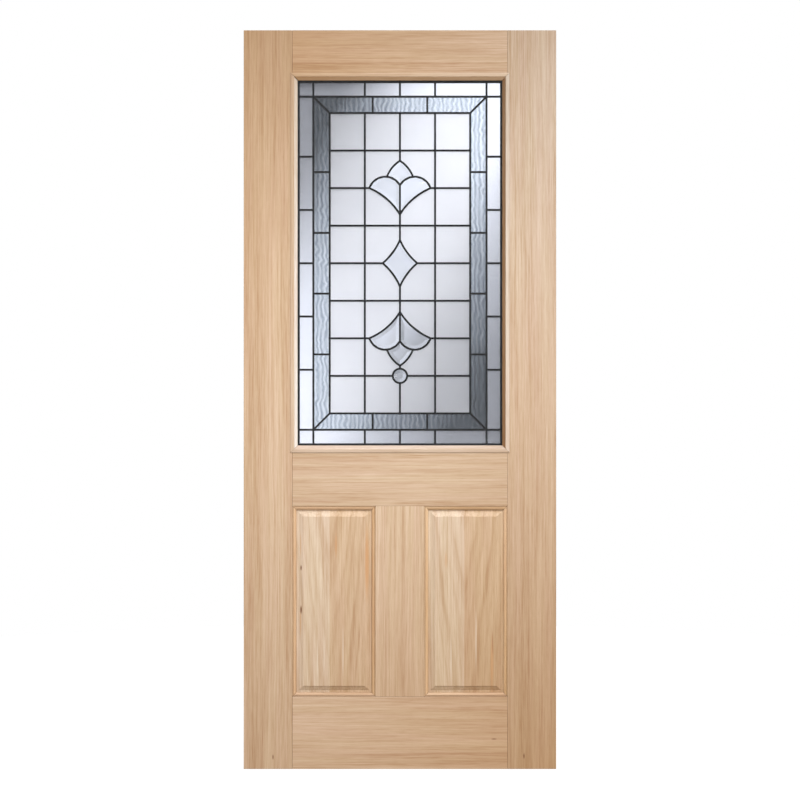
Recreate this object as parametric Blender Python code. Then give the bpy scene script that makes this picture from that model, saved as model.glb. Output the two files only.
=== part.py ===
"""A glazed external door leaf: oak stiles and rails, two raised panels below, and a sealed
glass unit above that holds a leaded light with bevelled sprays.

Metres, +Z up. The front faces -Y. The origin is on the hanging edge, at the middle of its height
and of the leaf's thickness, where the middle hinge is screwed.
"""

import math

import bmesh
import bpy
from mathutils import Vector

# Leaf and its boards
LEAF_WIDTH = 0.838
LEAF_HEIGHT = 1.981
LEAF_THICKNESS = 0.044
STILE_WIDTH = 0.1305
MUNTIN_WIDTH = 0.131
TOP_RAIL_HEIGHT = 0.1195
LOCK_RAIL_HEIGHT = 0.1485
BOTTOM_RAIL_HEIGHT = 0.194
GLAZED_OPENING_HEIGHT = 1.0075

# Gap left between pieces that are glued or bedded face to face
TOUCH_GAP = 0.0003

# Raised panels, their tongues and the grooves that hold them
PANEL_FIELD_DEPTH = 0.0010
PANEL_FIELD_STEP = 0.0009
PANEL_BEVEL_WIDTH = 0.0107
PANEL_BEVEL_DROP = 0.0042
PANEL_SECOND_STEP = 0.0004
PANEL_SKIRT_WIDTH = 0.0072
PANEL_SKIRT_DROP = 0.0014
PANEL_TONGUE_LENGTH = 0.010
PANEL_TONGUE_THICKNESS = 0.012
PANEL_GROOVE_SPARE = 0.0015
PANEL_SHOULDER_GAP = 0.0006

# Planted moulding round each panel, inside the opening
MOULDING_WIDTH = 0.0104
MOULDING_SET_BACK = 0.0008
MOULDING_FLAT = 0.0015
MOULDING_QUIRK = 0.0016
MOULDING_QUIRK_WIDTH = 0.0010
MOULDING_OVOLO_LOW = 0.0005
MOULDING_FILLET = 0.0012
MOULDING_EDGE = 0.0034

# Glazing bead round the glass, lipped over the face of the frame
BEAD_LIP = 0.0052
BEAD_COVER = 0.0134
BEAD_PROUD = 0.0020
BEAD_EDGE = 0.0005
BEAD_FLAT = 0.0055
BEAD_ROLL_WIDTH = 0.0048
BEAD_STEP = 0.0006
BEAD_GLASS_EDGE = 0.0010
BEAD_OPEN_MITRE = 0.0016

# Sealed unit
UNIT_THICKNESS = 0.024
UNIT_EDGE_GAP = 0.003
PANE_THICKNESS = 0.004
SPACER_WIDTH = 0.010
SPACER_CHANNEL_DEPTH = 0.0055

# Leaded light
CAME_WIDTH = 0.0053
CAME_DEPTH = 0.006
CAME_HEART = 0.0012
EDGE_CAME_SHOWN = 0.0055
CUT_GLASS_THICKNESS = 0.0034
BORDER_BAND = 0.042
TINTED_BAND = 0.044
BORDER_STRIP_LENGTH = 0.1434
TINTED_STRIP_LENGTH = 0.1636
TINTED_TOP_STRIP_LENGTH = 0.1468
FIELD_COLUMNS = 4
FIELD_ROWS = 8

# Bevelled sprays, star and round jewel
SPRAY_SIDE_CLEARANCE = 0.0121
SPRAY_CROWN_CLEARANCE = 0.0276
SPRAY_STEM_CLEARANCE = 0.0305
SPRAY_JUNCTION_HEIGHT = 0.0075
SPRAY_PETAL_RISE = 0.027
SPRAY_PETAL_HOLLOW = 0.0086
SPRAY_CROWN_SWELL = 0.0046
SPRAY_SHOULDER_SHARE = 0.584
STAR_SIDE_CLEARANCE = 0.0481
STAR_TIP_CLEARANCE = 0.0385
STAR_SIDE_HOLLOW = 0.0047
JEWEL_RADIUS = 0.0193
BEVEL_FACET_WIDTH = 0.0095
BEVEL_RISE = 0.0022

# Grid lines that carry the ornaments, counted down from the top of the field
TOP_SPRAY_LINE = 2
STAR_LINE = 4
BOTTOM_SPRAY_LINE = 6
JEWEL_LINE = 7

CURVE_STEPS = 6
JEWEL_STEPS_IN_QUARTER = 4
PROFILE_STEPS = 4

# Levels and edges worked out from the driving dimensions
TOP = LEAF_HEIGHT / 2
BOTTOM = -LEAF_HEIGHT / 2
GLAZED_TOP = TOP - TOP_RAIL_HEIGHT
GLAZED_BOTTOM = GLAZED_TOP - GLAZED_OPENING_HEIGHT
PANEL_TOP = GLAZED_BOTTOM - LOCK_RAIL_HEIGHT
PANEL_BOTTOM = BOTTOM + BOTTOM_RAIL_HEIGHT
INNER_LEFT = STILE_WIDTH
INNER_RIGHT = LEAF_WIDTH - STILE_WIDTH
MUNTIN_LEFT = (LEAF_WIDTH - MUNTIN_WIDTH) / 2
MUNTIN_RIGHT = (LEAF_WIDTH + MUNTIN_WIDTH) / 2
UNIT_RECESS = (LEAF_THICKNESS - UNIT_THICKNESS) / 2
PANEL_BEVEL_DEPTH = PANEL_FIELD_DEPTH + PANEL_FIELD_STEP + PANEL_BEVEL_DROP
PANEL_MARGIN_DEPTH = PANEL_BEVEL_DEPTH + PANEL_SECOND_STEP + PANEL_SKIRT_DROP

# Openings as (left, right, bottom, top)
GLAZED_OPENING = (INNER_LEFT, INNER_RIGHT, GLAZED_BOTTOM, GLAZED_TOP)
PANEL_OPENINGS = {
    "left": (INNER_LEFT, MUNTIN_LEFT, PANEL_BOTTOM, PANEL_TOP),
    "right": (MUNTIN_RIGHT, INNER_RIGHT, PANEL_BOTTOM, PANEL_TOP),
}

# The leaded light is drawn about its own middle, across and up
LIGHT_X = (INNER_LEFT + INNER_RIGHT) / 2
LIGHT_Z = (GLAZED_BOTTOM + GLAZED_TOP) / 2
SIGHT_HALF_WIDTH = (INNER_RIGHT - INNER_LEFT) / 2 - BEAD_COVER
SIGHT_HALF_HEIGHT = GLAZED_OPENING_HEIGHT / 2 - BEAD_COVER
EDGE_LINE_X = SIGHT_HALF_WIDTH - EDGE_CAME_SHOWN + CAME_WIDTH / 2
EDGE_LINE_Z = SIGHT_HALF_HEIGHT - EDGE_CAME_SHOWN + CAME_WIDTH / 2
TINT_LINE_X = SIGHT_HALF_WIDTH - BORDER_BAND
TINT_LINE_Z = SIGHT_HALF_HEIGHT - BORDER_BAND
FIELD_LINE_X = TINT_LINE_X - TINTED_BAND
FIELD_LINE_Z = TINT_LINE_Z - TINTED_BAND
COLUMN_LINES = [FIELD_LINE_X * (2 * i / FIELD_COLUMNS - 1) for i in range(FIELD_COLUMNS + 1)]
ROW_LINES = [FIELD_LINE_Z * (1 - 2 * i / FIELD_ROWS) for i in range(FIELD_ROWS + 1)]
COLUMN_WIDTH = 2 * FIELD_LINE_X / FIELD_COLUMNS
ROW_HEIGHT = 2 * FIELD_LINE_Z / FIELD_ROWS
SPRAY_HALF_WIDTH = COLUMN_WIDTH - SPRAY_SIDE_CLEARANCE
SPRAY_CROWN_HEIGHT = ROW_HEIGHT - SPRAY_CROWN_CLEARANCE
SPRAY_STEM_HEIGHT = ROW_HEIGHT - SPRAY_STEM_CLEARANCE
STAR_HALF_WIDTH = COLUMN_WIDTH - STAR_SIDE_CLEARANCE
STAR_HALF_HEIGHT = ROW_HEIGHT - STAR_TIP_CLEARANCE


# Materials


def make_material(name, colour, roughness, metallic=0.0, transmission=0.0):
    material = bpy.data.materials.new(name)
    material.use_nodes = True
    shader = material.node_tree.nodes["Principled BSDF"]
    shader.inputs["Base Color"].default_value = (*colour, 1.0)
    shader.inputs["Roughness"].default_value = roughness
    shader.inputs["Metallic"].default_value = metallic
    shader.inputs["Transmission Weight"].default_value = transmission
    return material


def make_materials():
    return {
        "oak": make_material("oak", (0.63, 0.44, 0.27), 0.55),
        "clear_glass": make_material("clear_glass", (0.93, 0.95, 0.96), 0.03, transmission=1.0),
        "obscure_glass": make_material("obscure_glass", (0.86, 0.88, 0.92), 0.3, transmission=0.9),
        "tinted_glass": make_material("tinted_glass", (0.33, 0.42, 0.49), 0.2, transmission=0.8),
        "bevelled_glass": make_material("bevelled_glass", (0.93, 0.95, 0.97), 0.02, transmission=1.0),
        "came": make_material("came", (0.02, 0.022, 0.027), 0.45, metallic=0.6),
        "spacer": make_material("spacer", (0.01, 0.01, 0.012), 0.6),
    }


# Meshes


def add_object(name, bm, material=None):
    bmesh.ops.recalc_face_normals(bm, faces=bm.faces)
    mesh = bpy.data.meshes.new(name)
    bm.to_mesh(mesh)
    bm.free()
    obj = bpy.data.objects.new(name, mesh)
    bpy.context.scene.collection.objects.link(obj)
    if material:
        mesh.materials.append(material)
    return obj


def add_cutter(name, bm):
    cutter = add_object(name, bm)
    cutter.hide_render = True
    cutter.display_type = "WIRE"
    return cutter


def cut(obj, cutter):
    modifier = obj.modifiers.new(cutter.name, "BOOLEAN")
    modifier.operation = "DIFFERENCE"
    modifier.solver = "EXACT"
    modifier.object = cutter


def bridge(bm, first, second, closed=True):
    """Joins two equal chains of vertices with quads."""
    count = len(first)
    for i in range(count if closed else count - 1):
        j = (i + 1) % count
        bm.faces.new((first[i], first[j], second[j], second[i]))


def add_box(bm, low, high):
    rings = []
    for y in (low[1], high[1]):
        corners = [(low[0], low[2]), (high[0], low[2]), (high[0], high[2]), (low[0], high[2])]
        rings.append([bm.verts.new((x, y, z)) for x, z in corners])
    bridge(bm, rings[0], rings[1])
    bm.faces.new(rings[0])
    bm.faces.new(rings[1])


def box(name, low, high, material):
    bm = bmesh.new()
    add_box(bm, low, high)
    return add_object(name, bm, material)


def add_prism(bm, outline, y_front, y_back):
    """A flat outline of (x, z) points given a thickness along Y."""
    front = [bm.verts.new((x, y_front, z)) for x, z in outline]
    back = [bm.verts.new((x, y_back, z)) for x, z in outline]
    bridge(bm, front, back)
    bm.faces.new(front)
    bm.faces.new(back)


def rectangle_ring(bm, opening, inset, y):
    left, right, bottom, top = opening
    corners = [
        (left + inset, bottom + inset),
        (right - inset, bottom + inset),
        (right - inset, top - inset),
        (left + inset, top - inset),
    ]
    return [bm.verts.new((x, y, z)) for x, z in corners]


# Profiles, as (distance into the opening, depth below the face of the leaf)


def quarter_curve(start, end):
    """Points of a quarter ellipse from start to end. It sets off along the first axis."""
    points = []
    for i in range(1, PROFILE_STEPS + 1):
        angle = math.pi / 2 * i / PROFILE_STEPS
        along, down = math.sin(angle), 1 - math.cos(angle)
        points.append((start[0] + (end[0] - start[0]) * along, start[1] + (end[1] - start[1]) * down))
    return points


def panel_moulding_profile():
    """A flat, a quirk, an ovolo and a fillet, stepping down from the frame to the panel."""
    outer = TOUCH_GAP
    depth = PANEL_MARGIN_DEPTH - TOUCH_GAP
    flat_end = (outer + MOULDING_FLAT, MOULDING_SET_BACK)
    quirk_start = (flat_end[0], MOULDING_SET_BACK + MOULDING_QUIRK)
    quirk_end = (quirk_start[0] + MOULDING_QUIRK_WIDTH, quirk_start[1])
    ovolo_start = (quirk_end[0], MOULDING_SET_BACK + MOULDING_OVOLO_LOW)
    ovolo_end = (MOULDING_WIDTH - MOULDING_FILLET, depth - MOULDING_EDGE)
    points = [(outer, depth), (outer, MOULDING_SET_BACK), flat_end, quirk_start, quirk_end, ovolo_start]
    points += quarter_curve(ovolo_start, ovolo_end)
    points += [(MOULDING_WIDTH, ovolo_end[1]), (MOULDING_WIDTH, depth)]
    return points


def glazing_bead_profile():
    """A flat that laps over the frame and rounds over, a small step, and a slope down to the glass."""
    seat = -TOUCH_GAP
    flat_end = -BEAD_LIP + BEAD_FLAT
    roll_end = flat_end + BEAD_ROLL_WIDTH
    edge = seat - BEAD_EDGE
    slope_start = (roll_end, edge + BEAD_STEP)
    slope_end = (BEAD_COVER, UNIT_RECESS - TOUCH_GAP - BEAD_GLASS_EDGE)
    points = [(TOUCH_GAP, seat), (-BEAD_LIP, seat), (-BEAD_LIP, -BEAD_PROUD), (flat_end, -BEAD_PROUD)]
    points += quarter_curve((flat_end, -BEAD_PROUD), (roll_end, edge))
    points += [slope_start, slope_end]
    points += [(BEAD_COVER, UNIT_RECESS - TOUCH_GAP), (TOUCH_GAP, UNIT_RECESS - TOUCH_GAP)]
    return points


def mitred_strip(name, profile, opening, side, face, material, gape=0.0):
    """One strip of a frame round an opening, mitred at both ends.

    face is -1 for the front and 1 for the back. gape opens the mitre at the low end, most at its inner
    side.
    """
    left, right, bottom, top = opening
    level = {"top": top, "bottom": bottom, "left": left, "right": right}[side]
    inward = -1 if side in ("top", "right") else 1
    across = side in ("top", "bottom")
    low, high = (left, right) if across else (bottom, top)
    outer, inner = min(profile)[0], max(profile)[0]
    bm = bmesh.new()
    ends = []
    for corner, towards, opened in ((low, 1, gape), (high, -1, 0.0)):
        ring = []
        for into, depth in profile:
            y = face * (LEAF_THICKNESS / 2 - depth)
            spread = opened * (into - outer) / (inner - outer)
            along = corner + towards * (into + TOUCH_GAP + spread)
            aside = level + inward * into
            ring.append(bm.verts.new((along, y, aside) if across else (aside, y, along)))
        ends.append(ring)
    bridge(bm, ends[0], ends[1])
    bm.faces.new(ends[0])
    bm.faces.new(ends[1])
    return add_object(name, bm, material)


def mitred_frame(prefix, profile, opening, material, open_mitre=0.0):
    """Four strips on the front of an opening and four on the back. The front's top left mitre may gape."""
    for face_name, face in (("front", -1), ("back", 1)):
        for side in ("top", "bottom", "left", "right"):
            name = f"{prefix}_{face_name}_{side}"
            gape = open_mitre if (face_name, side) == ("front", "top") else 0.0
            mitred_strip(name, profile, opening, side, face, material, gape)


# Boards and panels


def make_groove_cutter(side, opening):
    """Cuts the groove that takes a panel's tongue, in every board round its opening."""
    reach = PANEL_TONGUE_LENGTH + PANEL_GROOVE_SPARE
    half = PANEL_TONGUE_THICKNESS / 2 + TOUCH_GAP
    left, right, bottom, top = opening
    bm = bmesh.new()
    add_box(bm, (left - reach, -half, bottom - reach), (right + reach, half, top + reach))
    return add_cutter(f"groove_cutter_{side}", bm)


def make_boards(material):
    half = LEAF_THICKNESS / 2
    rail_left, rail_right = INNER_LEFT + TOUCH_GAP, INNER_RIGHT - TOUCH_GAP
    boards = {
        "hanging_stile": ((0, BOTTOM), (INNER_LEFT, TOP)),
        "lock_stile": ((INNER_RIGHT, BOTTOM), (LEAF_WIDTH, TOP)),
        "top_rail": ((rail_left, GLAZED_TOP), (rail_right, TOP)),
        "lock_rail": ((rail_left, PANEL_TOP), (rail_right, GLAZED_BOTTOM)),
        "bottom_rail": ((rail_left, BOTTOM), (rail_right, PANEL_BOTTOM)),
        "muntin": ((MUNTIN_LEFT, PANEL_BOTTOM + TOUCH_GAP), (MUNTIN_RIGHT, PANEL_TOP - TOUCH_GAP)),
    }
    made = {
        name: box(name, (low[0], -half, low[1]), (high[0], half, high[1]), material)
        for name, (low, high) in boards.items()
    }
    grooved = {
        "left": ("hanging_stile", "lock_rail", "bottom_rail", "muntin"),
        "right": ("lock_stile", "lock_rail", "bottom_rail", "muntin"),
    }
    for side, names in grooved.items():
        cutter = make_groove_cutter(side, PANEL_OPENINGS[side])
        for name in names:
            cut(made[name], cutter)


def make_raised_panel(name, opening, material):
    """A panel fielded on both faces: field, bevel, skirt, margin under the mouldings, and tongue."""
    skirt_edge = MOULDING_WIDTH
    bevel_edge = skirt_edge + PANEL_SKIRT_WIDTH
    field_edge = bevel_edge + PANEL_BEVEL_WIDTH
    half = LEAF_THICKNESS / 2
    tongue = PANEL_TONGUE_THICKNESS / 2
    sections = [
        (field_edge, half - PANEL_FIELD_DEPTH),
        (field_edge, half - PANEL_FIELD_DEPTH - PANEL_FIELD_STEP),
        (bevel_edge, half - PANEL_BEVEL_DEPTH),
        (bevel_edge, half - PANEL_BEVEL_DEPTH - PANEL_SECOND_STEP),
        (skirt_edge, half - PANEL_MARGIN_DEPTH),
        (PANEL_SHOULDER_GAP, half - PANEL_MARGIN_DEPTH),
        (PANEL_SHOULDER_GAP, tongue),
        (-PANEL_TONGUE_LENGTH, tongue),
    ]
    stations = [(inset, -y) for inset, y in sections] + list(reversed(sections))
    bm = bmesh.new()
    rings = [rectangle_ring(bm, opening, inset, y) for inset, y in stations]
    for first, second in zip(rings, rings[1:]):
        bridge(bm, first, second)
    bm.faces.new(rings[0])
    bm.faces.new(rings[-1])
    return add_object(name, bm, material)


# Outlines in the plane of the leaded light: lists of (start, end, bulge), anticlockwise seen from the
# front. A bulge of 0 is a straight side; otherwise it is the tangent of a quarter of the arc's angle,
# and positive when the arc turns anticlockwise.


def arc(start, end, rise):
    """A curved side that leaves its chord by rise, to the right of its way when rise is positive."""
    chord = math.dist(start, end)
    return (start, end, 2 * rise / chord)


def reverse(sides):
    return [(end, start, -bulge) for start, end, bulge in reversed(sides)]


def mirror(sides, across=1, up=1):
    """Sides reflected in the middle lines; across or up is -1 to reflect that way."""
    turned = across * up
    return [
        ((s[0] * across, s[1] * up), (e[0] * across, e[1] * up), bulge * turned)
        for s, e, bulge in sides
    ]


def shifted(sides, dx, dz):
    return [((s[0] + dx, s[1] + dz), (e[0] + dx, e[1] + dz), b) for s, e, b in sides]


def circle_of(side):
    """Centre and radius of a curved side's circle."""
    start, end, bulge = side
    chord = math.dist(start, end)
    radius = chord * (1 + bulge**2) / (4 * abs(bulge))
    middle = Vector(((start[0] + end[0]) / 2, (start[1] + end[1]) / 2))
    left = Vector((start[1] - end[1], end[0] - start[0])).normalized()
    offset = chord * (1 - bulge**2) / (4 * bulge)
    return middle + left * offset, radius


def point_on(side, share):
    """The point at that share of a side's length."""
    start, end, bulge = side
    if bulge == 0:
        return (start[0] + (end[0] - start[0]) * share, start[1] + (end[1] - start[1]) * share)
    centre, radius = circle_of(side)
    first = math.atan2(start[1] - centre.y, start[0] - centre.x)
    angle = first + 4 * math.atan(bulge) * share
    return (centre.x + radius * math.cos(angle), centre.y + radius * math.sin(angle))


def part_of(side, low, high):
    """The stretch of a side between two shares of its length."""
    bulge = math.tan(math.atan(side[2]) * (high - low))
    return (point_on(side, low), point_on(side, high), bulge)


def meeting(first, second, near):
    """Where two carriers cross, nearest to a point. A carrier is (point, direction) or (centre, radius)."""
    straight = [c for c in (first, second) if isinstance(c[1], Vector)]
    round_ones = [c for c in (first, second) if not isinstance(c[1], Vector)]
    if len(straight) == 2:
        (p, d), (q, e) = straight
        turn = d.x * e.y - d.y * e.x
        return p + d * (((q.x - p.x) * e.y - (q.y - p.y) * e.x) / turn)
    centre, radius = round_ones[0]
    if len(straight) == 1:
        p, d = straight[0]
    else:
        other, other_radius = round_ones[1]
        apart = other - centre
        reach = (apart.length_squared + radius**2 - other_radius**2) / (2 * apart.length)
        p = centre + apart.normalized() * reach
        d = Vector((-apart.y, apart.x)).normalized()
    foot = p + d * (centre - p).dot(d)
    away = math.sqrt(max(radius**2 - (foot - centre).length_squared, 0.0))
    return min((foot + d * away, foot - d * away), key=lambda v: (v - near).length)


def carrier(side, inset):
    """The line or circle that a side lies on, moved inwards."""
    start, end, bulge = side
    if bulge == 0:
        direction = Vector((end[0] - start[0], end[1] - start[1])).normalized()
        return Vector(start) + Vector((-direction.y, direction.x)) * inset, direction
    centre, radius = circle_of(side)
    return centre, radius - math.copysign(inset, bulge)


def inset_outline(sides, inset):
    """The outline moved inwards, with its corners kept sharp."""
    carriers = [carrier(side, inset) for side in sides]
    corners = [
        meeting(carriers[i - 1], carriers[i], Vector(sides[i][0])) for i in range(len(sides))
    ]
    moved = []
    for i, (_, _, bulge) in enumerate(sides):
        start, end = corners[i], corners[(i + 1) % len(sides)]
        if bulge:
            centre, _ = carriers[i]
            turn = (start - centre).angle_signed(end - centre)
            bulge = math.copysign(math.tan(abs(turn) / 4), bulge)
        moved.append(((start.x, start.y), (end.x, end.y), bulge))
    return moved


def outline_points(sides):
    points = []
    for side in sides:
        steps = CURVE_STEPS if side[2] else 1
        points += [point_on(side, i / steps) for i in range(steps)]
    return points


def rectangle(left, right, bottom, top):
    corners = [(left, bottom), (right, bottom), (right, top), (left, top)]
    return [(corners[i], corners[(i + 1) % 4], 0.0) for i in range(4)]


def placed(points):
    return [(LIGHT_X + x, LIGHT_Z + z) for x, z in points]


# Ornaments, each drawn about the grid crossing that it sits on


def spray_sides():
    """The sides of an upright spray's left half, by name."""
    tip = (-SPRAY_HALF_WIDTH, 0.0)
    stem = (0.0, -SPRAY_STEM_HEIGHT)
    apex = (0.0, SPRAY_CROWN_HEIGHT)
    junction = (0.0, SPRAY_JUNCTION_HEIGHT)
    petal_top = arc(junction, tip, SPRAY_PETAL_RISE)
    shoulder = point_on(petal_top, 1 - SPRAY_SHOULDER_SHARE)
    return {
        "petal_top": petal_top,
        "petal_inner": part_of(petal_top, 0, 1 - SPRAY_SHOULDER_SHARE),
        "petal_outer": part_of(petal_top, 1 - SPRAY_SHOULDER_SHARE, 1),
        "petal_low": arc(tip, stem, -SPRAY_PETAL_HOLLOW),
        "spine": (stem, junction, 0.0),
        "crown": arc(apex, shoulder, SPRAY_CROWN_SWELL),
    }


def spray_pieces():
    curves = spray_sides()
    petal = [curves["petal_low"], curves["spine"], curves["petal_top"]]
    half_crown = [curves["crown"]] + reverse([curves["petal_inner"]])
    return {
        "left_petal": petal,
        "right_petal": reverse(mirror(petal, across=-1)),
        "crown": half_crown + reverse(mirror(half_crown, across=-1)),
    }


def spray_quarters():
    """The outside of a spray in each quarter, from the grid line that runs across to the one that runs up."""
    curves = spray_sides()
    upper = reverse([curves["crown"], curves["petal_outer"]])
    lower = [curves["petal_low"]]
    return {
        (-1, 1): upper,
        (1, 1): mirror(upper, across=-1),
        (-1, -1): lower,
        (1, -1): mirror(lower, across=-1),
    }


def flipped_quarters(quarters):
    return {(across, -up): mirror(chain, up=-1) for (across, up), chain in quarters.items()}


def even_quarters(side):
    """Four alike quarters from the one at the right and top."""
    return {
        (across, up): mirror([side], across, up) for across in (-1, 1) for up in (-1, 1)
    }


def star_quarters():
    side = arc((STAR_HALF_WIDTH, 0.0), (0.0, STAR_HALF_HEIGHT), -STAR_SIDE_HOLLOW)
    return even_quarters(side)


def jewel_quarters():
    side = ((JEWEL_RADIUS, 0.0), (0.0, JEWEL_RADIUS), math.tan(math.pi / 8))
    return even_quarters(side)


def closed_outline(quarters):
    """A whole ornament's outline from its quarters."""
    return (
        quarters[(1, 1)]
        + reverse(quarters[(-1, 1)])
        + quarters[(-1, -1)]
        + reverse(quarters[(1, -1)])
    )


def ornaments():
    """Quarters of each ornament, by the grid line that it sits on."""
    return {
        TOP_SPRAY_LINE: spray_quarters(),
        STAR_LINE: star_quarters(),
        BOTTOM_SPRAY_LINE: flipped_quarters(spray_quarters()),
        JEWEL_LINE: jewel_quarters(),
    }


def bevelled_outlines():
    """Outlines of the bevelled pieces, in place."""
    upright = spray_pieces()
    pieces = {}
    for part, sides in upright.items():
        pieces[f"top_spray_{part}"] = shifted(sides, 0, ROW_LINES[TOP_SPRAY_LINE])
        hanging = reverse(mirror(sides, up=-1))
        pieces[f"bottom_spray_{part}"] = shifted(hanging, 0, ROW_LINES[BOTTOM_SPRAY_LINE])
    pieces["centre_star"] = shifted(closed_outline(star_quarters()), 0, ROW_LINES[STAR_LINE])
    return pieces


# Panes


def field_pane(row, column, found):
    """A field pane's outline, with the corners that an ornament takes cut away."""
    left, right = COLUMN_LINES[column], COLUMN_LINES[column + 1]
    top, bottom = ROW_LINES[row], ROW_LINES[row + 1]
    corners = [
        (left, bottom, row + 1, (1, 1)),
        (right, bottom, row + 1, (-1, 1)),
        (right, top, row, (-1, -1)),
        (left, top, row, (1, -1)),
    ]
    chains = []
    for x, z, line, quarter in corners:
        if line not in found or abs(x) > CAME_WIDTH:
            chains.append([((x, z), (x, z), 0.0)])
            continue
        chain = shifted(found[line][quarter], x, z)
        # Going round anticlockwise, the chain runs up to the upright line at lower right and upper left
        chains.append(chain if quarter in ((-1, 1), (1, -1)) else reverse(chain))
    sides = []
    for i, chain in enumerate(chains):
        sides += [side for side in chain if side[0] != side[1]]
        start, end = chain[-1][1], chains[(i + 1) % 4][0][0]
        sides.append((start, end, 0.0))
    return sides


def polygon(points):
    return [(points[i], points[(i + 1) % len(points)], 0.0) for i in range(len(points))]


def border_dividers():
    """Heights of the dividers in the upright borders: six strips, the end ones reaching the corners."""
    return [-TINT_LINE_Z] + [BORDER_STRIP_LENGTH * i for i in (-2, -1, 0, 1, 2)] + [TINT_LINE_Z]


def border_strips():
    """The clear strips and corner squares next to the edge."""
    across = [-EDGE_LINE_X, -TINT_LINE_X] + COLUMN_LINES[1:-1] + [TINT_LINE_X, EDGE_LINE_X]
    panes = []
    for low, high in ((-EDGE_LINE_Z, -TINT_LINE_Z), (TINT_LINE_Z, EDGE_LINE_Z)):
        panes += [rectangle(a, b, low, high) for a, b in zip(across, across[1:])]
    upright = border_dividers()
    for left, right in ((-EDGE_LINE_X, -TINT_LINE_X), (TINT_LINE_X, EDGE_LINE_X)):
        panes += [rectangle(left, right, a, b) for a, b in zip(upright, upright[1:])]
    return panes


def tinted_band(outer, inner, dividers):
    """The top tinted band about its own middle: strips from mitre to mitre, between two levels."""
    outer_x, outer_z = outer
    inner_x, inner_z = inner
    low = [-inner_x, *dividers, inner_x]
    high = [-outer_x, *dividers, outer_x]
    return [
        polygon([(low[i], inner_z), (low[i + 1], inner_z), (high[i + 1], outer_z), (high[i], outer_z)])
        for i in range(len(low) - 1)
    ]


def swap_axes(sides):
    """A band that runs across turned into one that runs up, its outline still anticlockwise."""
    return reverse([((s[1], s[0]), (e[1], e[0]), -b) for s, e, b in sides])


def tinted_bands(whole):
    """The tinted strips by side, or each side as one strip when whole is true."""
    half_top = TINTED_TOP_STRIP_LENGTH / 2
    half_side = TINTED_STRIP_LENGTH / 2
    top_dividers = [] if whole else [-half_top, half_top]
    side_dividers = [] if whole else [-3 * half_side, -half_side, half_side, 3 * half_side]
    top = tinted_band((TINT_LINE_X, TINT_LINE_Z), (FIELD_LINE_X, FIELD_LINE_Z), top_dividers)
    right = [
        swap_axes(strip)
        for strip in tinted_band(
            (TINT_LINE_Z, TINT_LINE_X), (FIELD_LINE_Z, FIELD_LINE_X), side_dividers
        )
    ]
    return {
        "top": top,
        "bottom": [reverse(mirror(strip, up=-1)) for strip in top],
        "right": right,
        "left": [reverse(mirror(strip, across=-1)) for strip in right],
    }


def shown_openings():
    """The outline of every pane, along the middle lines of its cames."""
    found = ornaments()
    panes = border_strips()
    for strips in tinted_bands(whole=False).values():
        panes += strips
    for row in range(FIELD_ROWS):
        panes += [field_pane(row, column, found) for column in range(FIELD_COLUMNS)]
    return panes + list(bevelled_outlines().values())


# Solids of the leaded light


def jewel_circle(radius):
    steps = 4 * JEWEL_STEPS_IN_QUARTER
    angles = [2 * math.pi * i / steps for i in range(steps)]
    return [(radius * math.cos(a), ROW_LINES[JEWEL_LINE] + radius * math.sin(a)) for a in angles]


def make_ornament_cutter():
    """The ornaments as through prisms, which the field's glass is cut round."""
    bm = bmesh.new()
    for line, quarters in ornaments().items():
        if line == JEWEL_LINE:
            points = jewel_circle(JEWEL_RADIUS)
        else:
            points = outline_points(shifted(closed_outline(quarters), 0, ROW_LINES[line]))
        add_prism(bm, placed(points), -CAME_DEPTH, CAME_DEPTH)
    return add_cutter("ornament_cutter", bm)


def fused_outlines(inset):
    """Outlines of the glass that is modelled side by side as one piece: border sides and tinted sides."""
    sides = {
        "border_glass_top": rectangle(-EDGE_LINE_X, EDGE_LINE_X, TINT_LINE_Z, EDGE_LINE_Z),
        "border_glass_bottom": rectangle(-EDGE_LINE_X, EDGE_LINE_X, -EDGE_LINE_Z, -TINT_LINE_Z),
        "border_glass_left": rectangle(-EDGE_LINE_X, -TINT_LINE_X, -TINT_LINE_Z, TINT_LINE_Z),
        "border_glass_right": rectangle(TINT_LINE_X, EDGE_LINE_X, -TINT_LINE_Z, TINT_LINE_Z),
    }
    for side, strips in tinted_bands(whole=True).items():
        sides[f"tinted_glass_{side}"] = strips[0]
    return {name: inset_outline(outline, inset) for name, outline in sides.items()}


def field_row_outline(row, inset):
    top, bottom = ROW_LINES[row] - inset, ROW_LINES[row + 1] + inset
    return rectangle(-FIELD_LINE_X + inset, FIELD_LINE_X - inset, bottom, top)


def make_flat_glass(materials, ornament_cutter):
    half = CUT_GLASS_THICKNESS / 2
    inset = CAME_HEART / 2 + TOUCH_GAP
    for name, sides in fused_outlines(inset).items():
        bm = bmesh.new()
        add_prism(bm, placed(outline_points(sides)), -half, half)
        glass = "tinted_glass" if name.startswith("tinted") else "obscure_glass"
        add_object(name, bm, materials[glass])
    for row in range(FIELD_ROWS):
        bm = bmesh.new()
        add_prism(bm, placed(outline_points(field_row_outline(row, inset))), -half, half)
        strip = add_object(f"field_glass_row_{row + 1}", bm, materials["obscure_glass"])
        cut(strip, ornament_cutter)


def bevelled_inset():
    """How far a bevelled piece stops short of the line of its came.

    The field's glass is cut to that line, so the came's whole heart lies on the bevelled side.
    """
    return CAME_HEART + 2 * TOUCH_GAP


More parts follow.
